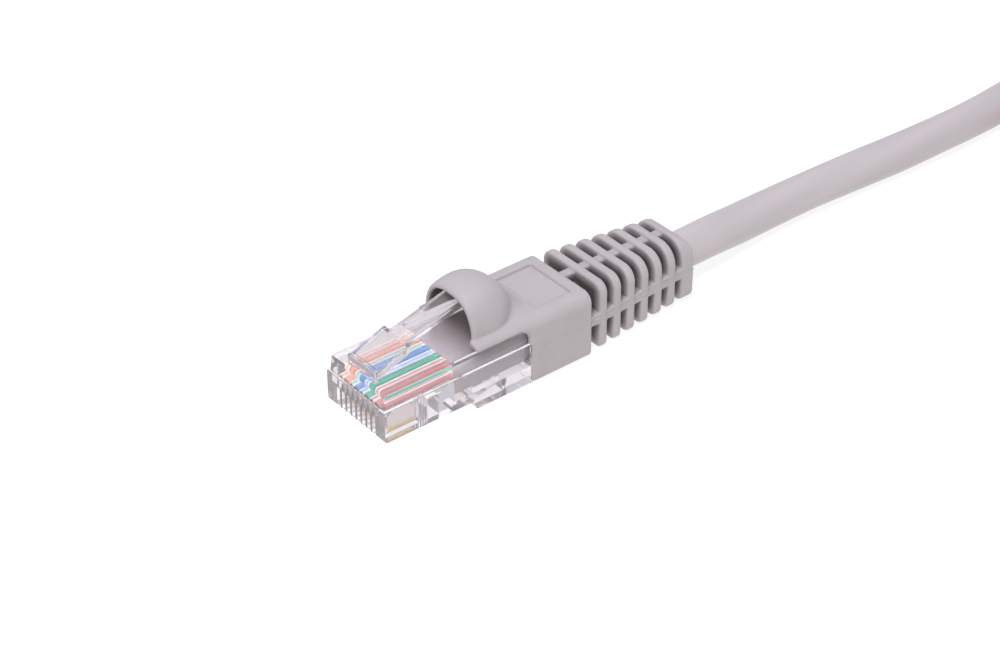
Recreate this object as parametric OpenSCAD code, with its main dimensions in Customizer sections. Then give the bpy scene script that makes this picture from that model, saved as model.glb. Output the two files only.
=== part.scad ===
// Ethernet patch cable: two modular plugs with snagless boots and a round cord wound in a coil.
// Every plug is drawn with its nose at x = 0, its cord leaving towards +X and its base at z = 0.

/* [Plug housing] */
// Width of the plug across its contacts
plug_w = 11.68; // [11.5:0.01:11.8]
// Length of the plug housing from its nose to its cable end
plug_len = 22.6; // [22.4:0.1:23]
// Height of the housing's top above the base
plug_top = 7.95; // [7.9:0.05:8]
// Height of the nose's underside above the base
nose_floor = 1.3; // [1.2:0.05:1.4]
// Height of the ledge where the housing gets narrower
ledge_z = 5.8; // [5.6:0.1:6.2]
// Width of the housing above the ledge
upper_w = 10.8; // [10.4:0.1:11.2]
// Distance from the nose to the step in the underside
step_x = 13.2; // [13:0.1:13.6]

/* [Contacts and wires] */
// Distance between neighbouring contacts
pitch = 1.02; // [1.02:0.01:1.04]
// Thickness of a contact blade
blade_t = 0.36; // [0.3:0.02:0.4]
// Width of the slot that a blade stands in
slot_w = 0.6; // [0.5:0.02:0.64]
// Outer diameter of an insulated wire
wire_d = 0.96; // [0.9:0.01:0.98]
// Diameter of the copper core of a wire
core_d = 0.5; // [0.4:0.02:0.56]
// Height of the row of wires above the base
wire_z = 5.5; // [5.4:0.05:5.6]

/* [Latch] */
// Width of the latch between its root and its locking shoulder
latch_wide_w = 5.4; // [5:0.1:6]
// Width of the latch's finger tab
latch_tab_w = 3.25; // [3:0.05:3.3]
// Distance from the nose to the locking shoulder
shoulder_x = 6.5; // [6.3:0.1:6.8]
// Distance from the nose to the tip of the tab
tip_x = 16.8; // [15:0.1:17]

/* [Boot] */
// Width of the boot
boot_w = 12.4; // [12.2:0.1:12.8]
// Height of the boot's flat top
boot_top = 9.4; // [9.3:0.05:9.6]
// Distance from the nose to the front edge of the boot
boot_front = 13.8; // [13.6:0.1:14]
// Distance from the nose to the rear edge of the side openings
window_rear = 22; // [21.8:0.1:22.2]
// Distance from the nose to the rear face of the boot's box
box_rear = 31.8; // [31:0.1:32.4]
// Height of the top of the latch hood
hood_top = 15; // [14.6:0.1:15.2]
// Width of the latch hood
hood_w = 9.9; // [9.6:0.1:10.2]
// Wall thickness of the latch hood
hood_wall = 0.65; // [0.5:0.05:0.8]

/* [Strain relief] */
// Number of ribs between the box and the collar
rib_count = 6; // [6:1:6]
// Distance from one rib to the next
rib_pitch = 2.43; // [2.4:0.01:2.46]
// Thickness of a rib
rib_t = 1.3; // [1.2:0.05:1.5]
// Width of the first rib
first_rib_w = 11.4; // [11:0.1:11.6]
// Width of the collar
collar_w = 9.5; // [9.2:0.1:9.8]

/* [Cord] */
// Outer diameter of the cord
cord_d = 5.4; // [5.3:0.1:5.4]
// Height of the cord's axis where it leaves a boot
cord_exit_z = 4.3; // [4.2:0.1:4.4]

/* [Coil and tie] */
// Radius of the coil's outer turn, at the middle of the cord
coil_r_out = 32.2; // [32:0.1:32.4]
// Radius of the coil's inner turn, at the middle of the cord
coil_r_in = 24.1; // [24:0.1:24.1]
// Number of layers of cord in the coil
coil_layers = 3; // [3:1:3]
// Gap between the coil and the floor, taken up by the tie
coil_lift = 0.5; // [0.5:0.05:0.6]
// Width of the tie's ribbon
tie_w = 4; // [3:0.5:6]
// Thickness of the tie's ribbon
tie_t = 0.45; // [0.4:0.05:0.45]

/* [Hidden] */
$fn = 48;
ENDS = ["near", "far"];
WIRE_NAMES = ["white_orange", "orange", "white_green", "blue",
              "white_blue", "green", "white_brown", "brown"];
WIRE_COLORS = ["#f3d3b8", "#e0803c", "#cfe3cf", "#4d74c0",
               "#c9d6ee", "#2f9c62", "#d8c0b4", "#8a3f36"];
PINS = [0 : 7];
fit = 0.05;
eps = 0.01;
bite = 0.4;

// Plug, inside
step_slope = 0.7;
channel_x = 0.9;
channel_rear = 10.9;
channel_h = wire_d + 0.14;
channel_w = 8 * pitch + 0.14;
slot_rear = 5.7;
slot_top = 4.2;
blade_x = 1.3;
blade_len = 3.8;
blade_z = 1.8;
tooth_z = wire_z + core_d / 2;
tooth_w = 0.6;
tooth_at = [2.3, 4.2];
blade_corner = 0.2;
cavity_x = 10.85;
cavity_floor = 2.1;
cavity_top = 7.2;
cavity_w = 9.2;
bar_x = 14.2;
bar_w = 6.8;
bar_len = 3.8;
bar_low = [0.5, 1.2];
bar_high = [1.9, 3.3];
bar_corner = [0.8, 0.4];
bar_pocket_len = 4.4;
wire_bar_x = 6.9;
wire_bar_len = 1.7;

// Nose: bevel below, and a front that leans back and turns over above the ledge
nose_bevel = 0.3;
nose_lean = 0.35;
nose_r = 0.5;

// Latch: block that it grows from, top line of its wide part, and its finger tab
boss_x = 1.05;
boss_len = 0.45;
boss_h = 1.4;
plate_top = [[1.75, 9.4], [4.2, 10.25], [shoulder_x, 11.15]];
plate_t = 1.1;
tab_z = 11.1;
tab_rise = 0.257;
tab_t = 1.05;
tab_overlap = 0.6;
tip_corner = 0.3;

// Jacket end inside the plug
jacket_x = 10.95;
jacket_flat_rear = 23.8;
jacket_w = 9;
jacket_z = [2.2, 7.1];
jacket_r = 1.8;

// Boot
edge_r_top = 1.5;
edge_r_bottom = 0.8;
socket_rear = plug_len + fit;
mouth_x = 14.1;
mouth_top = 14.2;
hood_r = 3.5;
hood_crown_x = 16.9;
hood_rear_x = 17.8;
label_x = 24.5;
label_len = 5.6;
label_w = 7.8;
label_deep = 0.45;
window_top = 8.15;
rib_x0 = box_rear + 1.7;
collar_x = rib_x0 + rib_count * rib_pitch;
boot_rear = 50.2;
relief_core_w = 6.6;
relief_core_z = [1, 7.6];
relief_core_r = 3;
band_z = [3.9, 5.4];
band_inset = 0.2;
bridge_w = 1.4;
bridge_inset = 0.5;
rib_top = [9.5, 9.1];
rib_floor = [0, 0.2];
rib_r_top = [1.7, 3.1];
rib_r_bottom = [0.9, 1.3];

// The near plug's middle is the origin, and the far plug lies on the coil.
near_place = [-boot_rear / 2, 0, 0];
far_place = [71.3, -56, 16.8];

// Coil
coil_at = [113.5, -29];
coil_top = coil_lift + coil_layers * cord_d;
tail_len = 8;
tail_w = 1.4;

// Points that the cord follows from the near boot to the coil, and from the coil to the far boot
near_route = [
    [25.1, 0, 4.3], [28, 0, 4.3], [33, 0.4, 4], [38, 1.1, 3.3], [44, 1.7, 2.8],
    [51, 1.8, 2.7], [57, 1.6, 2.7], [63, 1.3, 2.7], [69, 1, 2.7], [76, 0.9, 2.7],
    [83, 0.9, 2.7], [90, 1.3, 2.7], [96, 1.9, 2.8], [102, 2.5, 3], [108, 3, 3.2]];
far_route = [
    [126.8, -6, 14.3], [136.3, -15.9, 16], [141, -26.6, 18.8], [141.5, -36, 20.3],
    [138.8, -46, 21], [131.5, -53.3, 21.1], [125, -55.8, 21.1], [121.5, -56, 21.1]];

function pin_y(i) = (3.5 - i) * pitch;
function unit(v) = v / norm(v);
function mix(pair, t) = pair[0] + (pair[1] - pair[0]) * t;

// A side outline given as [x, z] points, extruded to a width centred on y = 0
module side_profile(points, width) {
    rotate([90, 0, 0]) linear_extrude(height = width, center = true) polygon(points);
}

// A block given by its low corner in x and z, its length, width and height, centred on y = 0
module centred_block(x, z, length, width, height) {
    translate([x, -width / 2, z]) cube([length, width, height]);
}

// A cross-section seen along X with round corners, standing between two heights
module round_section(width, z, r_bottom, r_top) {
    half = width / 2;
    translate([-half, z[0] + r_bottom]) square([width, z[1] - z[0] - r_bottom - r_top]);
    translate([-half + r_bottom, z[0]]) square([width - 2 * r_bottom, r_bottom + eps]);
    translate([-half + r_top, z[1] - r_top - eps]) square([width - 2 * r_top, r_top + eps]);
    for (s = [-1, 1]) {
        translate([s * (half - r_bottom), z[0] + r_bottom]) circle(r = r_bottom);
        translate([s * (half - r_top), z[1] - r_top]) circle(r = r_top);
    }
}

// Extrudes a cross-section along X
module along_x(x, length) {
    translate([x, 0, 0]) rotate([90, 0, 90]) linear_extrude(height = length) children();
}

// ---- Plug housing ----

module housing_outside() {
    side_profile([
        [nose_bevel, nose_floor], [step_x, nose_floor], [step_x + step_slope, 0], [plug_len, 0],
        [plug_len, ledge_z], [0, ledge_z], [0, nose_floor + nose_bevel]], plug_w);
    side_profile(concat(
        [[nose_bevel, ledge_z - eps], [plug_len, ledge_z - eps], [plug_len, plug_top]],
        [for (a = [90 : 30 : 180])
            [nose_lean + nose_r * (1 + cos(a)), plug_top - nose_r * (1 - sin(a))]]), upper_w);
    centred_block(boss_x, plug_top - eps, boss_len, latch_wide_w, boss_h);
}

module contact_slots() {
    for (i = PINS) translate([0, pin_y(i), 0]) {
        centred_block(-1, nose_floor - 1, slot_rear + 1, slot_w, slot_top - nose_floor + 1);
        centred_block(channel_x, slot_top - eps, slot_rear - channel_x, slot_w, 1);
    }
}

module wire_channel() {
    centred_block(channel_x, wire_z - channel_h / 2, channel_rear - channel_x, channel_w, channel_h);
}

// Hollow that takes the end of the cord's jacket, open at the rear
module jacket_cavity() {
    centred_block(cavity_x, cavity_floor, plug_len - cavity_x + 1, cavity_w,
                  cavity_top - cavity_floor);
}

// Wedge, hinged to the housing's floor, that was pressed into the jacket
module pressure_bar(width, grow) {
    rear = bar_x + bar_len;
    side_profile([
        [bar_x - eps, bar_low[0] - grow], [rear + grow, bar_low[1] - grow],
        [rear + grow, bar_high[1] - bar_corner[1] + grow],
        [rear - bar_corner[0] - grow, bar_high[1] + grow],
        [bar_x - eps, bar_high[0] + grow]], width);
}

module housing() {
    color([0.88, 0.9, 0.93, 0.45]) {
        difference() {
            housing_outside();
            contact_slots();
            wire_channel();
            jacket_cavity();
            centred_block(bar_x, -1, bar_pocket_len, bar_w + bite, cavity_floor + 1 + eps);
            centred_block(wire_bar_x, 0, wire_bar_len, channel_w, slot_top);
        }
        pressure_bar(bar_w, 0);
    }
}

// ---- Latch ----

function tab_top(x) = tab_z + tab_rise * (x - shoulder_x);

module latch() {
    plate_low = [for (k = [len(plate_top) - 1 : -1 : 0]) plate_top[k] - [0, plate_t]];
    tab_x0 = shoulder_x - tab_overlap;
    tab_x1 = tip_x - tip_corner;
    color([0.86, 0.89, 0.92, 0.5]) {
        side_profile(concat(plate_top, plate_low), latch_wide_w);
        side_profile([
            [tab_x0, tab_top(tab_x0) - tab_t], [tab_x0, tab_top(tab_x0)],
            [tab_x1, tab_top(tab_x1)], [tip_x, tab_top(tip_x) - tip_corner],
            [tip_x, tab_top(tip_x) - tab_t + tip_corner / 2],
            [tab_x1, tab_top(tab_x1) - tab_t]], latch_tab_w);
    }
}

// ---- Contacts and wires ----

// Gold blade with two teeth that bite into its wire
module contact(i) {
    shoulder = slot_top - 2 * fit;
    root_z = wire_z - (wire_d + tooth_w) / 2;
    rear = blade_x + blade_len;
    color("#d9b24a") translate([0, pin_y(i), 0]) side_profile(concat(
        [[blade_x, blade_z + blade_corner], [blade_x + blade_corner, blade_z],
         [rear - blade_corner, blade_z], [rear, blade_z + blade_corner], [rear, shoulder]],
        [for (k = [1, 0]) for (s = [1, 0, -1])
            [tooth_at[k] + s * tooth_w / 2, s == 0 ? tooth_z : root_z]],
        [[blade_x, shoulder]]), blade_t);
}

module tooth_holes(i) {
    for (x = tooth_at) translate([x - tooth_w / 2 - fit, pin_y(i) - blade_t / 2 - fit, 0])
        cube([tooth_w + 2 * fit, blade_t + 2 * fit, tooth_z + fit]);
}

module wire_rod(i, d, x0, x1) {
    translate([x0, pin_y(i), wire_z]) rotate([0, 90, 0]) cylinder(d = d, h = x1 - x0);
}

module wire(i) {
    color(WIRE_COLORS[i]) difference() {
        wire_rod(i, wire_d, channel_x + 0.1, jacket_x);
        wire_rod(i, core_d + fit, channel_x, jacket_x + 1);
        tooth_holes(i);
    }
}

module wire_cores() {
    color("#c46a3a") for (i = PINS) difference() {
        wire_rod(i, core_d, channel_x + 0.1, jacket_x);
        tooth_holes(i);
    }
}

// Cord jacket, flattened where the housing grips it and round from there to the boot's end
module jacket_end() {
    color("#c9c2c6") difference() {
        union() {
            along_x(jacket_x, jacket_flat_rear - jacket_x)
                round_section(jacket_w, jacket_z, jacket_r, jacket_r);
            translate([jacket_flat_rear - 1, 0, cord_exit_z]) rotate([0, 90, 0])
                cylinder(d = cord_d, h = boot_rear - jacket_flat_rear + 1);
        }
        pressure_bar(bar_w + 2 * fit, fit);
    }
}

// ---- Boot ----

// Dome over the latch tab, grown or shrunk by the wall thickness
module hood_dome(shrink) {
    half = hood_w / 2 - shrink;
    r = hood_r - shrink;
    hull() {
        for (s = [-1, 1]) translate([hood_crown_x, s * (half - r), hood_top - shrink - r])
            sphere(r = r, $fn = 32);
        along_x(mouth_x - (shrink > 0 ? 1 : 0), 0.3)
            round_section(2 * half, [8, mouth_top - shrink], 0.1, r - 0.3, $fn = 32);
        translate([hood_rear_x - shrink / 2, 0, shrink > 0 ? plug_top : 8.6])
            cylinder(r = half, h = 1.2, $fn = 32);
    }
}

// The dome, cut off square at its mouth
module hood_outside() {
    difference() {
        hood_dome(0);
        centred_block(0, 0, mouth_x, boot_w, 2 * hood_top);
    }
}

module boot_box() {
    along_x(boot_front, box_rear - boot_front)
        round_section(boot_w, [0, boot_top], edge_r_bottom, edge_r_top);
}

// Rib cross-section at a share of the way from the first rib to the collar
module rib_section(t) {
    round_section(mix([first_rib_w, collar_w], t), [mix(rib_floor, t), mix(rib_top, t)],
                  mix(rib_r_bottom, t), mix(rib_r_top, t));
}

module strain_relief() {
    along_x(box_rear - eps, boot_rear - box_rear)
        round_section(relief_core_w, relief_core_z, relief_core_r, relief_core_r);
    for (k = [0 : rib_count - 1]) along_x(rib_x0 + k * rib_pitch, rib_t) rib_section(k / rib_count);
    along_x(collar_x, boot_rear - collar_x) rib_section(1);
    // Side bands and top and bottom bridges that join the ribs
    for (k = [0 : rib_count]) {
        x = k == 0 ? box_rear - eps : rib_x0 + k * rib_pitch - (rib_pitch - rib_t) - eps;
        gap = rib_x0 + k * rib_pitch - x + eps;
        width = mix([first_rib_w, collar_w], k / rib_count) - band_inset;
        low = mix(rib_floor, k / rib_count) + bridge_inset;
        high = mix(rib_top, k / rib_count) - bridge_inset;
        centred_block(x, band_z[0], gap, width, band_z[1] - band_z[0]);
        centred_block(x, low, gap, bridge_w, high - low);
    }
}

module boot() {
    color("#c9c0c0") difference() {
        union() {
            boot_box();
            hood_outside();
            strain_relief();
        }
        hood_dome(hood_wall);
        // Space for the plug: open at the sides and below, with a socket at its rear
        centred_block(boot_front - 1, -1, window_rear - boot_front + 1, boot_w + 2, window_top + 1);
        centred_block(window_rear - eps, -1, socket_rear - window_rear, plug_w + 2 * fit, ledge_z + 1 + fit);
        centred_block(window_rear - eps, 0, socket_rear - window_rear, upper_w + 2 * fit, plug_top + fit);
        centred_block(label_x, boot_top - label_deep, label_len, label_w, 1);
        // Way through for the cord, with room for its flattened part
        centred_block(window_rear, jacket_z[0] - fit, jacket_flat_rear - window_rear + fit,
                      jacket_w + 2 * fit, jacket_z[1] - jacket_z[0] + 2 * fit);
        translate([window_rear, 0, cord_exit_z]) rotate([0, 90, 0])
            cylinder(d = cord_d + 2 * fit, h = boot_rear);
    }
}

// ---- Cord, coil and tie ----

function tube_dir(path, i) = unit(path[min(i + 1, len(path) - 1)] - path[max(i - 1, 0)]);
function tube_side(dir) = unit(cross(dir, [0, 0, 1]));
function tube_ring(p, dir, r, n) = [
    for (k = [0 : n - 1])
        p + r * (cos(360 * k / n) * tube_side(dir) + sin(360 * k / n) * cross(tube_side(dir), dir))];

// Round tube along a list of points
module tube(path, d, n = 12) {
    rings = len(path);
    points = [for (i = [0 : rings - 1]) each tube_ring(path[i], tube_dir(path, i), d / 2, n)];
    walls = [
        for (i = [0 : rings - 2]) for (k = [0 : n - 1])
            [i * n + k, i * n + (k + 1) % n, (i + 1) * n + (k + 1) % n, (i + 1) * n + k]];
    caps = [[for (k = [n - 1 : -1 : 0]) k], [for (k = [0 : n - 1]) (rings - 1) * n + k]];
    polyhedron(points, concat(walls, caps));
}

module near_cord_run() {
    color("#c9c2c6") tube(near_route, cord_d);
}

module far_cord_run() {
    color("#c9c2c6") tube(far_route, cord_d);
}

module cord_coil() {
    color("#c2bbc0") translate([coil_at[0], coil_at[1], coil_lift]) rotate_extrude($fn = 96)
        translate([coil_r_in - cord_d / 2, 0])
            square([coil_r_out - coil_r_in + cord_d, coil_layers * cord_d]);
}

// Ribbon round the coil's turns, with its two ends twisted together on the inside
module coil_tie() {
    r0 = coil_r_in - cord_d / 2 - 0.25;
    r1 = coil_r_out + cord_d / 2 + fit;
    color("#f0f0ee") translate([coil_at[0], coil_at[1], 0]) rotate([0, 0, 90]) {
        difference() {
            centred_block(r0 - tie_t, 0, r1 - r0 + 2 * tie_t, tie_w, coil_top + fit + tie_t);
            centred_block(r0, tie_t, r1 - r0, tie_w + 1, coil_top + fit - tie_t);
        }
        centred_block(r0 - tie_t - tail_len + eps, (coil_top - tail_w) / 2, tail_len, tail_w, tail_w);
    }
}

module place(end) {
    translate(end == "near" ? near_place : far_place) children();
}

for (end = ENDS) {
    place(end) housing();
    place(end) latch();
    place(end) wire_cores();
    place(end) jacket_end();
    place(end) boot();
    for (i = PINS) {
        place(end) contact(i);
        place(end) wire(i);
    }
}
near_cord_run();
cord_coil();
far_cord_run();
coil_tie();
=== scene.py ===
"""Ethernet patch cable: the visible meshes and materials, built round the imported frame.

Every plug is described in its own millimetres: nose at x = 0, cord leaving towards +X, base at z = 0.
The frame says where each plug stands. Soft shapes are distance fields, below 0 inside, made into meshes.
"""

import math

import bmesh
import bpy
import numpy as np
from mathutils import Matrix, Vector


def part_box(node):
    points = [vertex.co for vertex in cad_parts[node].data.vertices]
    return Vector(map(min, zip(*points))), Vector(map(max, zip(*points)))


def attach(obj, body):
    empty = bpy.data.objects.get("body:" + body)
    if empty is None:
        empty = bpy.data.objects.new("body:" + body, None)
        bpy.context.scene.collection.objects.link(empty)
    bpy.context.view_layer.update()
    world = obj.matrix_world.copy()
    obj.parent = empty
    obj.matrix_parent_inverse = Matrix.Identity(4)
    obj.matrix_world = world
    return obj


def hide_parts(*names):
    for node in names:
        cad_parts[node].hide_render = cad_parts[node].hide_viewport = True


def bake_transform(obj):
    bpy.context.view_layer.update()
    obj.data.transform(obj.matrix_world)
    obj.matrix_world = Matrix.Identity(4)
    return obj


MM = 0.001
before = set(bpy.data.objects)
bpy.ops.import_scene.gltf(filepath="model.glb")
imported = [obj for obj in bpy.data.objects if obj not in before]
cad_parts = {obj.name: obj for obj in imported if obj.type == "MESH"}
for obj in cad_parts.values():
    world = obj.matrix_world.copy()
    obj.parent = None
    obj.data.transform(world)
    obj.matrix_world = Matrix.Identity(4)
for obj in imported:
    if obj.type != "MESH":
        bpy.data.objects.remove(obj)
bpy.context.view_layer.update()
ENDS = ["near", "far"]
WIRES = ["white_orange", "orange", "white_green", "blue", "white_blue", "green", "white_brown", "brown"]


def plug_origin(end):
    """Where a plug's own zero lies in the frame, in metres."""
    low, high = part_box(end + "_housing")
    return Vector((low.x, (low.y + high.y) / 2, low.z))


ORIGIN = {end: plug_origin(end) for end in ENDS}


# ---- Camera ----

# A long lens at the photo's angle, in degrees, with the point that it looks at and its distance in mm
AZIMUTH, ELEVATION, ROLL = -38.48, 35.23, -0.37
TARGET = (-1.7, 1.69, 2.85)
CAMERA_AWAY = 300
LENS, SENSOR_W = 86.6, 36
CLIP = (0.01, 20)


def towards(azimuth, elevation):
    """Unit vector to an azimuth, where 0 is -Y and 90 is +X, and an elevation, both in degrees."""
    a, e = math.radians(azimuth), math.radians(elevation)
    return Vector((math.sin(a) * math.cos(e), -math.cos(a) * math.cos(e), math.sin(e)))


def add_camera():
    back, level = towards(AZIMUTH, ELEVATION), towards(AZIMUTH + 90, 0)
    roll = math.radians(ROLL)
    right = math.cos(roll) * level + math.sin(roll) * back.cross(level)
    up = back.cross(right)
    place = (Vector(TARGET) + CAMERA_AWAY * back) * MM
    data = bpy.data.cameras.new("camera")
    data.lens, data.sensor_width = LENS, SENSOR_W
    data.clip_start, data.clip_end = CLIP
    camera = bpy.data.objects.new("camera", data)
    camera.matrix_world = Matrix.Translation(place) @ Matrix((right, up, back)).transposed().to_4x4()
    bpy.context.scene.collection.objects.link(camera)
    bpy.context.scene.camera = camera


add_camera()


# ---- Mesh helpers ----


def new_object(name, points, faces):
    """A smooth mesh object from points in metres, in the frame."""
    mesh = bpy.data.meshes.new(name)
    mesh.from_pydata([tuple(p) for p in points], [], [tuple(f) for f in faces])
    mesh.validate()
    mesh.shade_smooth()
    mesh.update()
    thing = bpy.data.objects.new(name, mesh)
    bpy.context.scene.collection.objects.link(thing)
    return thing


def set_value(thing, name, values):
    """Gives the mesh a value for each of its points, for its material to read."""
    thing.data.attributes.new(name, "FLOAT", "POINT").data.foreach_set("value", values)


def to_frame(points, end):
    """Plug millimetres to the frame's metres."""
    return np.asarray(points) * MM + np.array(ORIGIN[end])


def finish_piece(thing, material, body, nodes):
    """Gives a piece its material and its body if it rides on one, and hides the CAD nodes that it stands for.
    """
    thing.data.materials.clear()
    thing.data.materials.append(material)
    if body:
        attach(thing, body)
    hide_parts(*nodes)
    return thing


def mix(a, b, t):
    return a + (b - a) * t


def ease(t):
    """0 below 0, 1 above 1 and smooth between."""
    t = np.clip(t, 0, 1)
    return t * t * (3 - 2 * t)


def join(a, b, k):
    """Union of two distance fields, with a fillet of about k."""
    h = np.maximum(k - np.abs(a - b), 0) / k
    return np.minimum(a, b) - h * h * k / 4


def cut(a, b, k):
    """Field a with b taken away, its edges rounded by about k."""
    return -join(-a, b, k)


def overlap(a, b, k):
    """What fields a and b share, its edges rounded by about k."""
    return -join(-a, -b, k)


def section(y, z, half_w, low, high, r_low, r_high):
    """Distance field of an upright cross-section with its own radius for the low and the high corners."""
    middle = (low + high) / 2
    r = np.where(z > middle, r_high, r_low)
    dy = np.abs(y) - half_w + r
    dz = np.abs(z - middle) - (high - low) / 2 + r
    return np.minimum(np.maximum(dy, dz), 0) + np.hypot(np.maximum(dy, 0), np.maximum(dz, 0)) - r


def slab(d, x, half, r):
    """Field d drawn out along x to half each way of x = 0, its end edges rounded by r."""
    dx = np.abs(x) - half + r
    d = d + r
    return np.minimum(np.maximum(d, dx), 0) + np.hypot(np.maximum(d, 0), np.maximum(dx, 0)) - r


def block(x, y, z, x0, x1, half_w, z0, z1, r=0.0):
    """Distance field of a block centred on y = 0, its edges rounded by r."""
    d = [np.abs(x - (x0 + x1) / 2) - (x1 - x0) / 2 + r, np.abs(y) - half_w + r,
         np.abs(z - (z0 + z1) / 2) - (z1 - z0) / 2 + r]
    out = np.sqrt(sum(np.maximum(c, 0) ** 2 for c in d))
    return out + np.minimum(np.maximum(np.maximum(d[0], d[1]), d[2]), 0) - r


def gradient(field, points, h=0.01):
    """Slope of a field at points."""
    slope = np.empty_like(points)
    for axis in range(3):
        step = np.zeros(3)
        step[axis] = h
        slope[:, axis] = (field(*(points + step).T) - field(*(points - step).T)) / (2 * h)
    return slope


def surface_net(field, low, high, step):
    """Points and quads of the closed surface where field(x, y, z) is zero, in the field's own units.

    Each grid cell that the surface enters gets one point, and each grid edge that it crosses one quad.
    """
    axes = [np.arange(a, b + step, step) for a, b in zip(low, high)]
    value = field(*np.meshgrid(*axes, indexing="ij"))
    inside = value < 0
    count = sum(inside[i:i - 1 or None, j:j - 1 or None, k:k - 1 or None].astype(np.int8)
                for i in (0, 1) for j in (0, 1) for k in (0, 1))
    active = (count > 0) & (count < 8)
    index = np.full(active.shape, -1)
    cells = np.argwhere(active)
    index[active] = np.arange(len(cells))
    total, hits = np.zeros((len(cells), 3)), np.zeros(len(cells))
    quads = []
    for axis in range(3):
        u, v = (axis + 1) % 3, (axis + 2) % 3
        unit = np.eye(3, dtype=int)
        for i in (0, 1):
            for j in (0, 1):
                a = cells + i * unit[u] + j * unit[v]
                b = a + unit[axis]
                va, vb = value[tuple(a.T)], value[tuple(b.T)]
                crossing = (va < 0) != (vb < 0)
                p = a[crossing].astype(float)
                p[:, axis] += va[crossing] / (va - vb)[crossing]
                total[crossing] += p
                hits[crossing] += 1
        first = np.take(inside, range(inside.shape[axis] - 1), axis)
        second = np.take(inside, range(1, inside.shape[axis]), axis)
        at = np.argwhere(first != second)
        leaves = first[tuple(at.T)]
        ring = np.stack([index[tuple((at - i * unit[u] - j * unit[v]).T)]
                         for i, j in ((0, 0), (1, 0), (1, 1), (0, 1))], 1)
        ring[~leaves] = ring[~leaves][:, ::-1]
        quads.append(ring)
    points = np.array(low) + step * total / hits[:, None]
    # Each pass moves the points along the field's slope onto the surface
    for _ in range(3):
        slope = gradient(field, points)
        move = field(*points.T) / np.maximum((slope ** 2).sum(1), 1e-6)
        points -= slope * np.clip(move, -step / 2, step / 2)[:, None]
    return points, np.concatenate(quads)


# ---- Materials ----


class Nodes:
    """Adds and links the shader nodes of one material or world."""

    def __init__(self, owner, shader="Principled BSDF"):
        owner.use_nodes = True
        self.owner = owner
        self.tree = owner.node_tree
        self.shader = self.tree.nodes[shader]

    def add(self, kind, values=(), links=(), **settings):
        """A node with its settings, its sockets' values and the outputs that feed its sockets."""
        node = self.tree.nodes.new(kind)
        for key, value in settings.items():
            setattr(node, key, value)
        for socket, value in dict(values).items():
            node.inputs[socket].default_value = value
        for socket, source in dict(links).items():
            self.tree.links.new(source, node.inputs[socket])
        return node

    def link(self, source, socket):
        """Feeds a socket of the shader."""
        self.tree.links.new(source, self.shader.inputs[socket])

    def set(self, **values):
        """Sets sockets of the shader, written with _ for each space in their names."""
        for socket, value in values.items():
            self.shader.inputs[socket.replace("_", " ")].default_value = value

    def noise(self, size, detail):
        """Noise from 0 to 1 in patches of about size mm."""
        where = self.add("ShaderNodeTexCoord").outputs["Object"]
        look = {"Scale": 1 / (size * MM), "Detail": detail}
        return self.add("ShaderNodeTexNoise", look, {"Vector": where}).outputs["Fac"]

    def mesh_value(self, name):
        """The value that set_value gave to the mesh."""
        return self.add("ShaderNodeAttribute", attribute_name=name).outputs["Fac"]

    def height(self):
        """Height, from 0 to 1 in a piece's own box, and from -1 to 1 over the whole sky."""
        where = self.add("ShaderNodeTexCoord").outputs["Generated"]
        return self.add("ShaderNodeSeparateXYZ", {}, {0: where}).outputs["Z"]

    def rescale(self, value, to=(0, 1), start=(0, 1)):
        """A value moved from the range start to the range to, and held within it."""
        ends = {"From Min": start[0], "From Max": start[1], "To Min": to[0], "To Max": to[1]}
        return self.add("ShaderNodeMapRange", ends, {"Value": value}).outputs["Result"]

    def tint(self, a, b, share):
        """Colour between a and b, each of them a colour or a node's output."""
        ends = {"A": a, "B": b}
        fixed = {socket: c for socket, c in ends.items() if isinstance(c, tuple)}
        fed = {socket: c for socket, c in ends.items() if socket not in fixed}
        return self.add("ShaderNodeMix", fixed, {"Factor": share, **fed}, data_type="RGBA").outputs["Result"]

    def bump(self, height, strength, distance):
        """Slight relief from a height, its distance in mm."""
        depth = {"Strength": strength, "Distance": distance * MM}
        return self.add("ShaderNodeBump", depth, {"Height": height}).outputs["Normal"]


def rgb(code):
    """Linear colour of a #rrggbb code."""
    parts = [int(code[i:i + 2], 16) / 255 for i in (1, 3, 5)]
    return tuple(c / 12.92 if c < 0.04045 else ((c + 0.055) / 1.055) ** 2.4 for c in parts) + (1,)


def mottled(name, tints, patch, grain, depth, rough, painted_highlight=None, painted_shade=None):
    """Moulded plastic: two close tints in soft patches and a fine grain, both sizes in mm.

    With the name of a mesh value for painted highlight, the tints also follow that value. A colour for
    painted shade takes over where the mesh's own value for painted shade says so.
    """
    n = Nodes(bpy.data.materials.new(name))
    share = n.noise(patch, 3.0)
    if painted_highlight:
        share = n.add("ShaderNodeMix", {0: 0.5}, {2: share, 3: n.mesh_value(painted_highlight)}).outputs[0]
    colour = n.tint(*map(rgb, tints), share)
    if painted_shade:
        colour = n.tint(colour, rgb(painted_shade), n.mesh_value("painted_shade"))
    grains = n.noise(grain, 2.0)
    n.link(colour, "Base Color")
    n.link(n.rescale(grains, rough), "Roughness")
    n.link(n.bump(grains, 0.5, depth), "Normal")
    return n.owner


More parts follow.
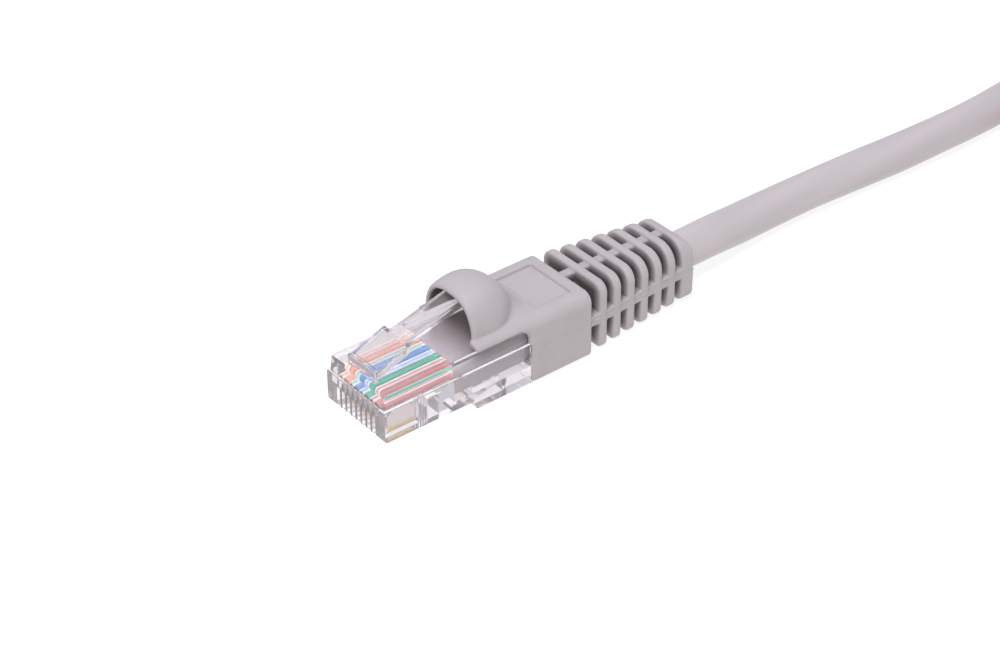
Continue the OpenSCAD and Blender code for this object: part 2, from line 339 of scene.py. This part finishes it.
def clear_plastic(name):
    """Polycarbonate, a little hazy, with faint flow marks from moulding, a faint painted glow and a pale
    shadow.
    """
    n = Nodes(bpy.data.materials.new(name))
    flow = n.noise(3.846, 2.0)
    n.link(n.rescale(flow, (0.0, 0.1)), "Roughness")
    n.link(n.bump(flow, 0.2, 0.015), "Normal")
    # The faint pinkish emission is a painted glow that brightens the plastic; it is no lamp
    n.set(Base_Color=(0.85, 0.815, 0.832, 1), Transmission_Weight=0.97, IOR=1.5,
          Emission_Color=(1, 0.9, 0.95, 1), Emission_Strength=0.022)
    clear = n.add("ShaderNodeBsdfTransparent", {"Color": (0.9, 0.895, 0.9, 1)}).outputs[0]
    shadow = n.add("ShaderNodeLightPath").outputs["Is Shadow Ray"]
    surface = n.add("ShaderNodeMixShader", {}, {0: shadow, 1: n.shader.outputs[0], 2: clear}).outputs[0]
    n.tree.links.new(surface, n.tree.nodes["Material Output"].inputs["Surface"])
    return n.owner


def insulation(name, colour, stripe):
    """Wire insulation with a stripe along it, from the mesh's own "stripe" value."""
    n = Nodes(bpy.data.materials.new(name))
    edge = n.rescale(n.mesh_value("stripe"), start=(0.65, 0.8))
    n.link(n.tint(rgb(colour), rgb(stripe), edge), "Base Color")
    n.link(n.rescale(n.noise(1.111, 2.0), (0.3, 0.5)), "Roughness")
    return n.owner


def metal(name, tints, rough, plating=None):
    """Metal between two close tints. A plating takes over on its lower edge, where a jack's springs touch."""
    n = Nodes(bpy.data.materials.new(name))
    wear = n.noise(0.4, 3.0)
    colour = n.tint(*map(rgb, tints), wear)
    if plating:
        colour = n.tint(colour, rgb(plating), n.rescale(n.height(), start=(0.22, 0.14)))
    n.link(colour, "Base Color")
    n.link(n.rescale(wear, rough), "Roughness")
    n.set(Metallic=1.0)
    return n.owner


# The boot's last colour is painted shade: dark inside its hood and down the slots of its relief
boot_pvc = mottled("boot_pvc", ("#b0a7a7", "#bbb2b2"), 4, 0.22, 0.1, (0.5, 0.68), painted_shade="#5f5351")
# The jacket's end has the cord's PVC tints painted darker, as painted shade under the clear housing; its last
# colour is painted shade on its top
jacket_pvc_painted_darker = mottled("jacket_pvc_painted_darker", ("#a29b9c", "#aaa3a4"), 5, 0.35, 0.03, (0.5, 0.65), painted_shade="#6b625f")
# The cord's lighter tint follows random patches and also the crests of its ridges, where it is painted
# highlight
cord_pvc = mottled("cord_pvc", ("#bab5b4", "#c7baba"), 9, 0.35, 0.03, (0.36, 0.5), "lay")
tie_pvc = mottled("tie_pvc", ("#e6e6e2", "#f2f2ee"), 3, 0.3, 0.04, (0.35, 0.5))
polycarbonate = clear_plastic("polycarbonate")
gold = metal("gold_contact", ("#dcd4cf", "#e8e1dc"), (0.25, 0.42), plating="#ead3a0")
copper = metal("copper", ("#b8673a", "#d98c5c"), (0.25, 0.4))
# Each wire's colour and its stripe's
WIRE_LOOKS = {
    "white_orange": ("#f4eeea", "#e3ab94"), "orange": ("#e2a38b", "#e2a38b"),
    "white_green": ("#eef2ee", "#8fc4ad"), "blue": ("#6c97c9", "#6c97c9"),
    "white_blue": ("#e9edf3", "#9ab5d9"), "green": ("#5fab90", "#5fab90"),
    "white_brown": ("#f1e8e6", "#c48f8e"), "brown": ("#b98381", "#b98381"),
}
wire_materials = {name: insulation("wire_" + name, *looks) for name, looks in WIRE_LOOKS.items()}


# ---- Cord: near boot to coil, coil, and tail to the far boot ----

CORD_D = 5.4
# Four low ridges wind along the cord, one for each twisted pair inside: length of a turn, and height
CORD_LAY, CORD_RIDGE = 110, 0.09
CORD_SIDES = 32
CORD_SPACING = 0.9
# The route's points, in the frame's mm: the same as in the CAD
NEAR_ROUTE = [
    (25.1, 0, 4.3), (28, 0, 4.3), (33, 0.4, 4), (38, 1.1, 3.3), (44, 1.7, 2.8),
    (51, 1.8, 2.7), (57, 1.6, 2.7), (63, 1.3, 2.7), (69, 1, 2.7), (76, 0.9, 2.7),
    (83, 0.9, 2.7), (90, 1.3, 2.7), (96, 1.9, 2.8), (102, 2.5, 3), (108, 3, 3.2)]
FAR_ROUTE = [
    (126.8, -6, 14.3), (136.3, -15.9, 16), (141, -26.6, 18.8), (141.5, -36, 20.3),
    (138.8, -46, 21), (131.5, -53.3, 21.1), (125, -55.8, 21.1), (121.5, -56, 21.1)]
# The coil's middle, the radius of its outer and inner turns, and how far it lies above the ground
COIL_AT = (113.5, -29)
COIL_R = (32.2, 24.1)
COIL_LIFT = 0.5
COIL_LAYERS = 3
TURNS_PER_LAYER = 1.5
COIL_TURNS = 4
POINTS_PER_TURN = 36
# The share of a layer's length over which the cord climbs to the next
CLIMB = 0.24


def coil_route():
    """Clockwise seen from above: in, out and in again, one layer higher each time it turns back."""
    points = []
    for i in range(COIL_TURNS * POINTS_PER_TURN + 1):
        turn = i / POINTS_PER_TURN
        layer, share = divmod(turn / TURNS_PER_LAYER, 1)
        inward = share if layer % 2 == 0 else 1 - share
        radius = mix(*COIL_R, inward)
        rise = sum(ease((turn / TURNS_PER_LAYER - k) / CLIMB + 0.5) for k in range(1, COIL_LAYERS))
        angle = math.pi / 2 - 2 * math.pi * turn
        points.append((COIL_AT[0] + radius * math.cos(angle), COIL_AT[1] + radius * math.sin(angle),
                       COIL_LIFT + CORD_D * (rise + 0.5)))
    return points


def smooth_line(points, spacing, fine=12):
    """Catmull-Rom line through points, resampled at an even spacing."""
    p = np.array([points[0]] + list(points) + [points[-1]], float)
    t = np.linspace(0, 1, fine, endpoint=False)[:, None]
    a, b, c, d = p[:-3], p[1:-2], p[2:-1], p[3:]
    line = [0.5 * (2 * b[i] + (c[i] - a[i]) * t + (2 * a[i] - 5 * b[i] + 4 * c[i] - d[i]) * t ** 2
                   + (3 * b[i] - a[i] - 3 * c[i] + d[i]) * t ** 3) for i in range(len(a))]
    line = np.concatenate(line + [p[-1:]])
    run = np.concatenate([[0], np.cumsum(np.linalg.norm(np.diff(line, axis=0), axis=1))])
    even = np.linspace(0, run[-1], round(run[-1] / spacing) + 1)
    return np.stack([np.interp(even, run, line[:, i]) for i in range(3)], 1)


def tube(line, radius, sides, lay, ridge):
    """Points and faces of a capped tube along a line, kept upright, and how near each point is to a ridge.

    Its four ridges, as high as ridge, wind once round it in a length of lay.
    """
    along = np.gradient(line, axis=0)
    along /= np.linalg.norm(along, axis=1)[:, None]
    side = np.cross(along, (0, 0, 1))
    side /= np.linalg.norm(side, axis=1)[:, None]
    lift = np.cross(side, along)
    angle = np.arange(sides) * 2 * math.pi / sides
    out = np.cos(angle)[:, None] * side[:, None] + np.sin(angle)[:, None] * lift[:, None]
    run = np.concatenate([[0], np.cumsum(np.linalg.norm(np.diff(line, axis=0), axis=1))])
    wave = np.cos(4 * (angle - 2 * math.pi * run[:, None] / lay))
    points = line[:, None] + (radius + ridge * (wave - 1) / 2)[..., None] * out
    rings = len(line)
    a = np.arange((rings - 1) * sides).reshape(rings - 1, sides)
    b = np.roll(a, -1, 1)
    walls = np.stack([a, b, b + sides, a + sides], -1).reshape(-1, 4)[:, ::-1].tolist()
    caps = [list(range(sides)), list(range(rings * sides - 1, (rings - 1) * sides - 1, -1))]
    return points.reshape(-1, 3), walls + caps, (wave.ravel() + 1) / 2


def add_cord():
    line = smooth_line(NEAR_ROUTE + coil_route() + FAR_ROUTE, CORD_SPACING) * MM
    points, faces, wave = tube(line, CORD_D / 2 * MM, CORD_SIDES, CORD_LAY * MM, CORD_RIDGE * MM)
    cord = new_object("cord", points, faces)
    # The material paints the ridges' crests lighter with this value: painted highlight
    set_value(cord, "lay", wave)
    finish_piece(cord, cord_pvc, "cable", ["near_cord_run", "cord_coil", "far_cord_run"])
    return cord, line


cord, cord_line = add_cord()


# The flat ribbon round the coil's turns at its +Y side, as a frame seen along the cord
TIE_INNER, TIE_OUTER = COIL_R[1] - CORD_D / 2 - 0.45, COIL_R[0] + CORD_D / 2 + 0.25
TIE_LOW, TIE_HIGH = 0.24, COIL_LIFT + COIL_LAYERS * CORD_D + 0.25
TIE_CORNER = 1.6
TIE_HALF_W, TIE_HALF_T = 1.9, 0.18
TIE_BEVEL = 0.08
# Its two ends, twisted together inside the coil
TWIST_LENGTH, TWIST_TURNS = 7.8, 1.5
TWIST_HALF_W, TWIST_SPLAY, TWIST_HALF_T = 0.55, 0.25, 0.28
TWIST_STEPS = 30


def rectangle(half_w, half_h):
    return [(-half_w, -half_h), (half_w, -half_h), (half_w, half_h), (-half_w, half_h)]


def tie_band():
    """Points and faces of the ribbon's closed band, its corners rounded."""
    loop = []
    corners = [(TIE_OUTER, TIE_HIGH), (TIE_INNER, TIE_HIGH), (TIE_INNER, TIE_LOW), (TIE_OUTER, TIE_LOW)]
    for turn, (r, z) in enumerate(corners):
        middle_r = r - TIE_CORNER if r == TIE_OUTER else r + TIE_CORNER
        middle_z = z - TIE_CORNER if z == TIE_HIGH else z + TIE_CORNER
        for a in range(0, 91, 15):
            angle = math.radians(a + 90 * turn)
            loop.append((middle_r + TIE_CORNER * math.cos(angle), middle_z + TIE_CORNER * math.sin(angle)))
    loop = np.array(loop)
    ahead = np.roll(loop, -1, 0) - np.roll(loop, 1, 0)
    normal = np.stack([ahead[:, 1], -ahead[:, 0]], 1) / np.linalg.norm(ahead, axis=1)[:, None]
    points, faces = [], []
    for i, (p, n) in enumerate(zip(loop, normal)):
        points += [(w, p[0] + t * n[0], p[1] + t * n[1]) for w, t in rectangle(TIE_HALF_W, TIE_HALF_T)]
        j = (i + 1) % len(loop)
        faces += [(4 * i + k, 4 * j + k, 4 * j + (k + 1) % 4, 4 * i + (k + 1) % 4) for k in range(4)]
    return points, faces


def tie_ends(base):
    """Points and faces of the twisted ends, splayed a little at their tip, numbered from base."""
    points, faces = [], []
    for i in range(TWIST_STEPS + 1):
        t = i / TWIST_STEPS
        angle = 2 * math.pi * TWIST_TURNS * t
        y = TIE_INNER - TIE_HALF_T + 0.1 - TWIST_LENGTH * t
        for w, h in rectangle(TWIST_HALF_W + TWIST_SPLAY * t ** 4, TWIST_HALF_T):
            points.append((w * math.cos(angle) - h * math.sin(angle), y,
                           (TIE_LOW + TIE_HIGH) / 2 + w * math.sin(angle) + h * math.cos(angle)))
        if i:
            a, b = base + 4 * (i - 1), base + 4 * i
            faces += [(a + k, a + (k + 1) % 4, b + (k + 1) % 4, b + k) for k in range(4)]
    last = base + 4 * TWIST_STEPS
    faces += [tuple(base + 3 - k for k in range(4)), tuple(last + k for k in range(4))]
    return points, faces


def add_tie():
    points, faces = tie_band()
    end_points, end_faces = tie_ends(len(points))
    place = np.array([COIL_AT[0], COIL_AT[1], 0])
    tie = new_object("tie", (np.array(points + end_points) + place) * MM, faces + end_faces)
    work = bmesh.new()
    work.from_mesh(tie.data)
    bmesh.ops.recalc_face_normals(work, faces=work.faces)
    work.to_mesh(tie.data)
    work.free()
    soften = tie.modifiers.new("edges", "BEVEL")
    soften.width, soften.segments, soften.limit_method = TIE_BEVEL * MM, 2, "ANGLE"
    return finish_piece(tie, tie_pvc, "cable", ["coil_tie"])


tie = add_tie()


# ---- Boot ----

BOX = dict(front=13.8, rear=31.8, half=6.2, top=9.4, r_top=1.5, r_low=0.8)
# The opening in front, under the boot's roof, that shows the plug, and the rounding of its corner
WINDOW = dict(rear=22, top=8.15, r=1.8)
# The pocket round the plug's rear, up to the plug's ledges and, narrower, to its top
POCKET = dict(front=20, rear=22.65, low=-2, half=5.89, ledge=5.85, upper_half=5.45, top=8.0)
# The shallow frame on its roof
LABEL = dict(front=24.5, rear=30.1, half=3.9, deep=0.45)
MOUTH_X = 14.1
HOOD = dict(half=4.95, top=15, crown_x=16.9, dip=0.8, base=8.3, wide_x=17, length=5.78, wall=0.66, square=2.6)
RIB_COUNT = 6
RIB_X, RIB_PITCH, RIB_T = 33.5, 2.43, 1.3
RIB_EDGE = 0.38
COLLAR_X = RIB_X + RIB_COUNT * RIB_PITCH
BOOT_REAR = 50.2
# The relief's cross-section, at its first rib and at its collar, in the order that section() takes
RELIEF = dict(half_w=(5.7, 4.75), low=(0, 0.2), high=(9.5, 9.2), r_low=(0.8, 1.3), r_high=(1.6, 3))
CORE = dict(half_w=3.3, low=1, high=7.6, r_low=3, r_high=3)
# The bands along the relief's sides and the bridges along its middle: how far in, and half their width
BAND_INSET, BAND_HALF = 0.08, 0.75
BRIDGE_INSET, BRIDGE_HALF = 0.45, 0.7
# The collar's top falls away behind SLOPE_X, by SLOPE for each mm
SLOPE_X, SLOPE = 49, 0.8
PARTING_Z = 4.65
CORD_Z = 4.3
BORE_GAP = 0.04
# The space for the jacket's flattened end: its section, its middle and half its length
OVAL = dict(half_w=4.55, low=2.15, high=7.15, r_low=1.75, r_high=1.75)
OVAL_X, OVAL_HALF = 20, 3.9
BORE_X = 21
# The low and high corner of the grid that the surface is found on, and its step
BOOT_GRID = ((13.3, -6.7, -0.55), (50.7, 6.7, 15.5), 0.2)


def relief_share(x):
    """How far along the relief x lies, from 0 at its first rib to 1 at its collar."""
    return np.clip((x - RIB_X) / (COLLAR_X - RIB_X), 0, 1)


def rib_section(y, z, t, inset=0.0):
    """Cross-section of the relief's outside at a share t of its length."""
    return section(y, z, *(mix(*ends, t) for ends in RELIEF.values())) + inset


def relief(x, y, z):
    """Six ribs and the collar on a thinner core, tied by side bands and by narrow bridges."""
    k = np.clip(np.round((x - RIB_X - RIB_T / 2) / RIB_PITCH), 0, RIB_COUNT - 1)
    from_rib = x - RIB_X - RIB_T / 2 - k * RIB_PITCH
    ribs = slab(rib_section(y, z, k / RIB_COUNT), from_rib, RIB_T / 2, RIB_EDGE)
    collar_half = (BOOT_REAR - COLLAR_X) / 2
    collar = slab(rib_section(y, z, 1), x - COLLAR_X - collar_half, collar_half, 0.4)
    slope = (z - RELIEF["high"][1] + SLOPE * (x - SLOPE_X)) / math.hypot(1, SLOPE)
    collar = overlap(collar, slope, 0.8)
    core_half = (BOOT_REAR - BOX["rear"]) / 2
    core = slab(section(y, z, **CORE), x - BOX["rear"] - core_half, core_half, 0)
    t = relief_share(x)
    reach = np.maximum(BOX["rear"] - 0.5 - x, x - COLLAR_X - 0.5)
    side = np.maximum(np.abs(z - PARTING_Z + 0.05) - BAND_HALF, reach)
    band = overlap(rib_section(y, z, t, BAND_INSET), side, 0.1)
    middle = np.maximum(np.abs(y) - BRIDGE_HALF, reach)
    bridge = overlap(rib_section(y, z, t, BRIDGE_INSET), middle, 0.1)
    return join(join(np.minimum(ribs, collar), core, 0.3), np.minimum(band, bridge), 0.1)


def dome(x, y, z, wall):
    """Hood over the latch tab: a squarish arch that swells behind its mouth and closes at the rear.

    With a wall it is the inside, that far in.
    """
    front = np.clip((HOOD["crown_x"] - x) / (HOOD["crown_x"] - MOUTH_X), 0, 2)
    height = HOOD["top"] - wall - HOOD["base"] - HOOD["dip"] * front ** 2
    n = HOOD["square"]
    arch = (np.abs(y) / (HOOD["half"] - wall)) ** n + (np.maximum(z - HOOD["base"], 0) / height) ** n
    rear = np.maximum(x - HOOD["wide_x"], 0) / (HOOD["length"] - wall)
    return (np.sqrt(arch ** (2 / n) + rear ** 2) - 1) * 5


def plug_space(x, y, z):
    """What the boot leaves free in front: the window that shows the plug, and the pocket round its rear."""
    window = overlap(x - WINDOW["rear"], z - WINDOW["top"], WINDOW["r"])
    p = POCKET
    lower = block(x, y, z, p["front"], p["rear"], p["half"], p["low"], p["ledge"])
    upper = block(x, y, z, p["front"], p["rear"], p["upper_half"], p["low"], p["top"])
    return window, lower, upper


def cord_space(x, y, z):
    """The bore for the round cord, and the wider space for the flattened end in front of it."""
    bore = np.hypot(y, z - CORD_Z) - CORD_D / 2 - BORE_GAP
    oval = slab(section(y, z, **OVAL), x - OVAL_X, OVAL_HALF, 0)
    return np.minimum(np.maximum(bore, BORE_X - x), oval)


def boot_field(x, y, z):
    """The whole moulding: box, hood and relief, less what it leaves free inside."""
    box_half = (BOX["rear"] - BOX["front"]) / 2
    box = slab(section(y, z, BOX["half"], 0, BOX["top"], BOX["r_low"], BOX["r_top"]),
               x - BOX["front"] - box_half, box_half, 0.35)
    hood = overlap(dome(x, y, z, 0), np.maximum(MOUTH_X - x, 6 - z), 0.45)
    body = join(box, hood, 0.3 + 2.4 * ease((x - 19) / 4))
    body = join(body, relief(x, y, z), 0.3)
    # The mould's parting line: a fine raised edge below it, a groove above, the upper half a touch narrower
    above = z > PARTING_Z
    body = body + 0.04 * above + np.where(above, 0.14, -0.09) * np.exp(-np.abs(z - PARTING_Z) / 0.15)
    inside_hood = overlap(dome(x, y, z, HOOD["wall"]), np.maximum(7.6 - z, x - BOX["rear"]), 0.05)
    body = cut(body, inside_hood, 0.35)
    for space, edge in zip(plug_space(x, y, z), (0.8, 0.1, 0.1)):
        body = cut(body, space, edge)
    label = block(x, y, z, LABEL["front"], LABEL["rear"], LABEL["half"],
                  BOX["top"] - LABEL["deep"], BOX["top"] + 2)
    body = cut(body, label, 0.05)
    return cut(body, cord_space(x, y, z), 0.2)


def boot_painted_shade(x, y, z):
    """How far a point of the boot lies inside the hood or down in the relief's slots, from 0 to 1: its share
    of painted shade.
    """
    slot = ease(-rib_section(y, z, relief_share(x), 0.25) / 1.3)
    slot = slot * (x > BOX["rear"] + 0.1) * (x < COLLAR_X + 0.1)
    lining = (np.abs(dome(x, y, z, HOOD["wall"])) < 0.15) * (z > 8.2) * (x > MOUTH_X + 0.2)
    return np.maximum(slot, lining * ease((x - MOUTH_X) / 0.9))


def add_boots():
    points, quads = surface_net(boot_field, *BOOT_GRID)
    for end in ENDS:
        boot = new_object(end + "_boot_moulding", to_frame(points, end), quads)
        # How much painted shade each point of the boot gets
        set_value(boot, "painted_shade", boot_painted_shade(*points.T))
        finish_piece(boot, boot_pvc, "cable", [end + "_boot"])


add_boots()


# ---- Plug: clear parts, contacts and wires from the CAD solids, with rounded edges ----

# Normals are compared by their dot product, 1 when they agree
SAME_WAY, LEANING = 0.8, 0.6
# The least share of the largest face's area that counts beside it
LARGE_SHARE = 0.25
# From these angles on, in degrees, an edge is rounded or is shaded sharp
ROUNDED_FROM, SHARP_FROM = 35, 40
HOUSING_BEVEL, CONTACT_BEVEL = 0.1, 0.04


def flat_normals(work, rounded):
    """A normal for each vertex: that of the flat faces that meet there, or else its own.

    A face that is much larger than the others counts alone, and so does one that leans away from them.
    """
    work.verts.ensure_lookup_table()
    work.normal_update()
    area = {f: f.calc_area() for f in work.faces}
    normals = []
    for v in work.verts:
        flats = [f for f in v.link_faces if f not in rounded]
        if flats:
            main = max(flats, key=area.get)
            large = [f for f in flats if area[f] > LARGE_SHARE * area[main]]
            near = [f for f in large if f.normal.dot(main.normal) > SAME_WAY]
            normals.append(sum((f.normal for f in near), Vector()).normalized())
        else:
            normals.append(v.normal.copy())
    return normals


def shade_flats(mesh, normals):
    """Shades each corner with its vertex's normal, unless its face leans too far from that."""
    mesh.shade_smooth()
    corners = []
    for face in mesh.polygons:
        for v in face.vertices:
            corners.append(normals[v] if normals[v].dot(face.normal) > LEANING else face.normal)
    mesh.normals_split_custom_set(corners)


def clean_copy(node, bevel=0, reshape=None):
    """The CAD solid with its coplanar faces merged.

    With a bevel, in mm, its edges are rounded and its flats shaded flat. Without one it is shaded smooth
    between its sharp edges. A reshape function may move the vertices first.
    """
    work = bmesh.new()
    work.from_mesh(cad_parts[node].data)
    bmesh.ops.remove_doubles(work, verts=work.verts, dist=0.002 * MM)
    bmesh.ops.dissolve_limit(work, angle_limit=math.radians(1), verts=work.verts, edges=work.edges)
    if reshape:
        for v in work.verts:
            reshape(v)
    if bevel:
        sharp = [e for e in work.edges if e.is_manifold and e.calc_face_angle() > math.radians(ROUNDED_FROM)]
        rounded = bmesh.ops.bevel(work, geom=sharp, offset=bevel * MM, segments=2, profile=0.5,
                                  affect="EDGES", clamp_overlap=True)["faces"]
        normals = flat_normals(work, set(rounded))
    bmesh.ops.triangulate(work, faces=[f for f in work.faces if len(f.verts) > 4])
    mesh = bpy.data.meshes.new(node)
    work.to_mesh(mesh)
    work.free()
    if bevel:
        shade_flats(mesh, normals)
    else:
        mesh.shade_smooth()
        mesh.set_sharp_from_angle(angle=math.radians(SHARP_FROM))
    thing = bpy.data.objects.new(node + "_piece", mesh)
    bpy.context.scene.collection.objects.link(thing)
    return thing


# The latch: where its web bends, the height of the web, the plate's top line, and the finger tab
WEB_X, WEB_Z = (1.35, 1.75), (8.5, 9.3)
PLATE = [(1.75, 9.4), (4.2, 10.25), (6.5, 11.15)]
PLATE_HALF, PLATE_T = 2.7, 1.1
TAB_HALF, TAB_T, TAB_RISE = 1.625, 1.05, 0.257
TIP_X = 16.8
LATCH_CORNER, CORNER_STEPS = 0.14, 3
# The least area of a flat face of the latch, in square mm
LATCH_FLAT = 0.2


def latch_sections():
    """Sections (x, low, high, half width) from the web that bends, along the plate and to the tab's tip."""
    soft = 0.12
    web = [(x, *WEB_Z, PLATE_HALF - 0.1) for x in np.linspace(*WEB_X, 9)]
    plate = [(x + 0.03, z - PLATE_T + 0.03, z, PLATE_HALF) for x, z in PLATE[:2]]
    x, z = PLATE[2]
    shoulder = [(x - soft, z - PLATE_T - 0.04, z - 0.04, PLATE_HALF),
                (x, z - PLATE_T + 0.02, z - 0.06, PLATE_HALF - soft),
                (x + 0.01, z - PLATE_T + 0.02, z - 0.06, TAB_HALF + soft),
                (x + soft, z - TAB_T, z - 0.02, TAB_HALF)]
    top = [(u, z - 0.05 + TAB_RISE * (u - x)) for u in (TIP_X - 0.35, TIP_X - 0.12, TIP_X)]
    tip = [(u, w - TAB_T + inset, w - inset, TAB_HALF - inset) for (u, w), inset in zip(top, (0, 0.06, 0.25))]
    return web + plate + shoulder + tip


def latch_mesh():
    """Points and faces of the latch: its sections with rounded corners, joined up and closed at both ends."""
    rings = latch_sections()
    points = []
    for x, low, high, half in rings:
        for turn, (sy, sz) in enumerate([(1, 1), (-1, 1), (-1, -1), (1, -1)]):
            y, z = sy * (half - LATCH_CORNER), (high if sz > 0 else low) - sz * LATCH_CORNER
            for k in range(CORNER_STEPS + 1):
                a = math.radians(90 * (turn + k / CORNER_STEPS))
                points.append((x, y + LATCH_CORNER * math.cos(a), z + LATCH_CORNER * math.sin(a)))
    n = 4 * (CORNER_STEPS + 1)
    last = (len(rings) - 1) * n
    faces = [(r + k, r + (k + 1) % n, r + n + (k + 1) % n, r + n + k)
             for r in range(0, last, n) for k in range(n)]
    faces += [tuple(range(n - 1, -1, -1)), tuple(range(last, last + n))]
    return points, faces


def shade_latch(mesh):
    """Shades the latch by the largest flat face at each point, so that only its edges look round."""
    normals = [v.normal.copy() for v in mesh.vertices]
    flats = [f for f in mesh.polygons if f.area > LATCH_FLAT * MM * MM]
    for face in sorted(flats, key=lambda f: f.area):
        for v in face.vertices:
            normals[v] = face.normal.copy()
    shade_flats(mesh, normals)


def add_latch(end):
    """Plate and finger tab, moulded on a web whose front sits in the housing."""
    points, faces = latch_mesh()
    latch = new_object(end + "_latch_moulding", to_frame(points, end), faces)
    shade_latch(latch.data)
    finish_piece(latch, polycarbonate, None, [end + "_latch"])
    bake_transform(latch)


JACKET_FRONT, JACKET_REAR = 10.95, 49
# The wires' channel in the CAD: its front, its roof, and a height between the roof and the contacts' slots
CHANNEL_FRONT, CHANNEL_ROOF, CHANNEL_LOW = 0.9, 6.05, 4
# Where its front and its roof go, to the middle of the wires, so that no air shows round them
WIRE_FRONT, WIRE_ROOF = 1.02, 5.5
CLOSE = 0.02
# The wires' stripes: the direction that they face, and how sharply they fade
STRIPE_TURN, STRIPE_FADE = 0.3, 6


def hug_wires(end):
    """A mover for the vertices of the housing that closes the channel onto the wires."""

    def move(v):
        at = (v.co - ORIGIN[end]) / MM
        if abs(at.z - CHANNEL_ROOF) < CLOSE and at.x < JACKET_FRONT:
            v.co.z = ORIGIN[end].z + WIRE_ROOF * MM
        if abs(at.x - CHANNEL_FRONT) < CLOSE and CHANNEL_LOW < at.z < CHANNEL_ROOF + CLOSE:
            v.co.x = ORIGIN[end].x + WIRE_FRONT * MM

    return move


def add_wire(end, colour):
    """One insulated wire, its stripe on two opposite sides."""
    node = f"{end}_wire_{colour}"
    wire = clean_copy(node)
    low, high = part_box(node)
    middle = (low + high) / 2
    angle = [math.atan2(v.co.z - middle.z, v.co.y - middle.y) for v in wire.data.vertices]
    set_value(wire, "stripe", [abs(math.sin(a - STRIPE_TURN)) ** STRIPE_FADE for a in angle])
    finish_piece(wire, wire_materials[colour], "cable", [node])


def add_plug(end):
    housing = clean_copy(end + "_housing", HOUSING_BEVEL, hug_wires(end))
    finish_piece(housing, polycarbonate, "cable", [end + "_housing"])
    add_latch(end)
    for pin, colour in enumerate(WIRES, 1):
        contact = clean_copy(f"{end}_contact_{pin}", CONTACT_BEVEL)
        finish_piece(contact, gold, "cable", [f"{end}_contact_{pin}"])
        add_wire(end, colour)
    cores = clean_copy(end + "_wire_cores")
    finish_piece(cores, copper, "cable", [end + "_wire_cores"])


for end in ENDS:
    add_plug(end)


# ---- End of the cord's jacket, inside the plug and the boot ----

# Half width, half height, middle height and corner radius, under the pressure bar and in the boot
JACKET_FLAT = (4.5, 2.45, 4.65, 1.7)
JACKET_ROUND = (CORD_D / 2, CORD_D / 2, CORD_Z, CORD_D / 2)
# Where it starts to turn round, and over what length
ROUND_X, ROUND_LENGTH = 21.5, 4
# The pressure bar's wedge: its front and its height there, its slope, length and half width
BAR_X, BAR_Z = 14.2, 2
WEDGE_SLOPE, WEDGE_LENGTH, WEDGE_HALF = 0.465, 3.95, 3.5
JACKET_GRID = ((10.5, -4.9, 1.2), (49.4, 4.9, 7.6), 0.25)


def jacket_field(x, y, z):
    """Flattened under the pressure bar, then round; the bar's wedge is pressed into it from below."""
    t = ease((x - ROUND_X) / ROUND_LENGTH)
    half_w, half_h, middle, r = (mix(a, b, t) for a, b in zip(JACKET_FLAT, JACKET_ROUND))
    body = slab(section(y, z, half_w, middle - half_h, middle + half_h, r, r),
                x - (JACKET_FRONT + JACKET_REAR) / 2, (JACKET_REAR - JACKET_FRONT) / 2, 0.12)
    wedge = np.maximum(z - BAR_Z - WEDGE_SLOPE * (x - BAR_X),
                       np.maximum(x - BAR_X - WEDGE_LENGTH, np.abs(y) - WEDGE_HALF))
    return cut(body, wedge, 0.3)


def add_jackets():
    points, quads = surface_net(jacket_field, *JACKET_GRID)
    x, y, z = points.T
    # Painted shade: its top darkens towards the boot, under the hood
    painted_shade_share = ease((x - 10.5) / 6) * ease((z - 5.5) / 1.2)
    for end in ENDS:
        jacket = new_object(end + "_jacket", to_frame(points, end), quads)
        set_value(jacket, "painted_shade", painted_shade_share)
        finish_piece(jacket, jacket_pvc_painted_darker, "cable", [end + "_jacket_end"])


add_jackets()


# ---- Floor and light ----

LIGHT_COLOUR = (0.95, 0.97, 1.04)
FLOOR_HALF = 4
FLOOR_DROP = 0.05 * MM


def add_floor():
    n = Nodes(bpy.data.materials.new("floor"))
    n.link(n.tint((0.27, 0.27, 0.27, 1), (0.29, 0.29, 0.29, 1), n.noise(125, 2.0)), "Base Color")
    n.set(Roughness=0.9, Specular_IOR_Level=0.0, Emission_Color=(1, 1, 1, 1), Emission_Strength=0.8)
    points = [(x * FLOOR_HALF, y * FLOOR_HALF, -FLOOR_DROP) for x, y in rectangle(1, 1)]
    floor = new_object("floor", points, [(0, 1, 2, 3)])
    floor.data.materials.append(n.owner)


def add_light(name, azimuth, elevation, distance, size, watts):
    """Square soft box, aimed at the plug."""
    data = bpy.data.lights.new(name, "AREA")
    data.size = size
    data.energy = watts
    data.color = LIGHT_COLOUR
    light = bpy.data.objects.new(name, data)
    direction = towards(azimuth, elevation)
    light.location = direction * distance
    light.rotation_mode = "QUATERNION"
    light.rotation_quaternion = direction.to_track_quat("Z", "Y")
    bpy.context.scene.collection.objects.link(light)


def add_world():
    """A pale studio, a little brighter overhead, and brighter still where it is seen through the plug."""
    n = Nodes(bpy.data.worlds.new("studio"), "Background")
    sky = n.rescale(n.height(), to=(0.42, 0.5), start=(-0.1, 0.8))
    through = n.add("ShaderNodeLightPath").outputs["Is Transmission Ray"]
    tent = n.add("ShaderNodeMath", {1: 0.1}, {0: through, 2: sky}, operation="MULTIPLY_ADD")
    n.link(tent.outputs[0], "Strength")
    n.set(Color=LIGHT_COLOUR + (1,))
    bpy.context.scene.world = n.owner


add_floor()
add_world()
add_light("key", -52, 70, 0.9, 0.3, 6.2)
add_light("back", 150, 60, 0.9, 0.6, 0.6)
bpy.context.scene.view_settings.view_transform = "Standard"
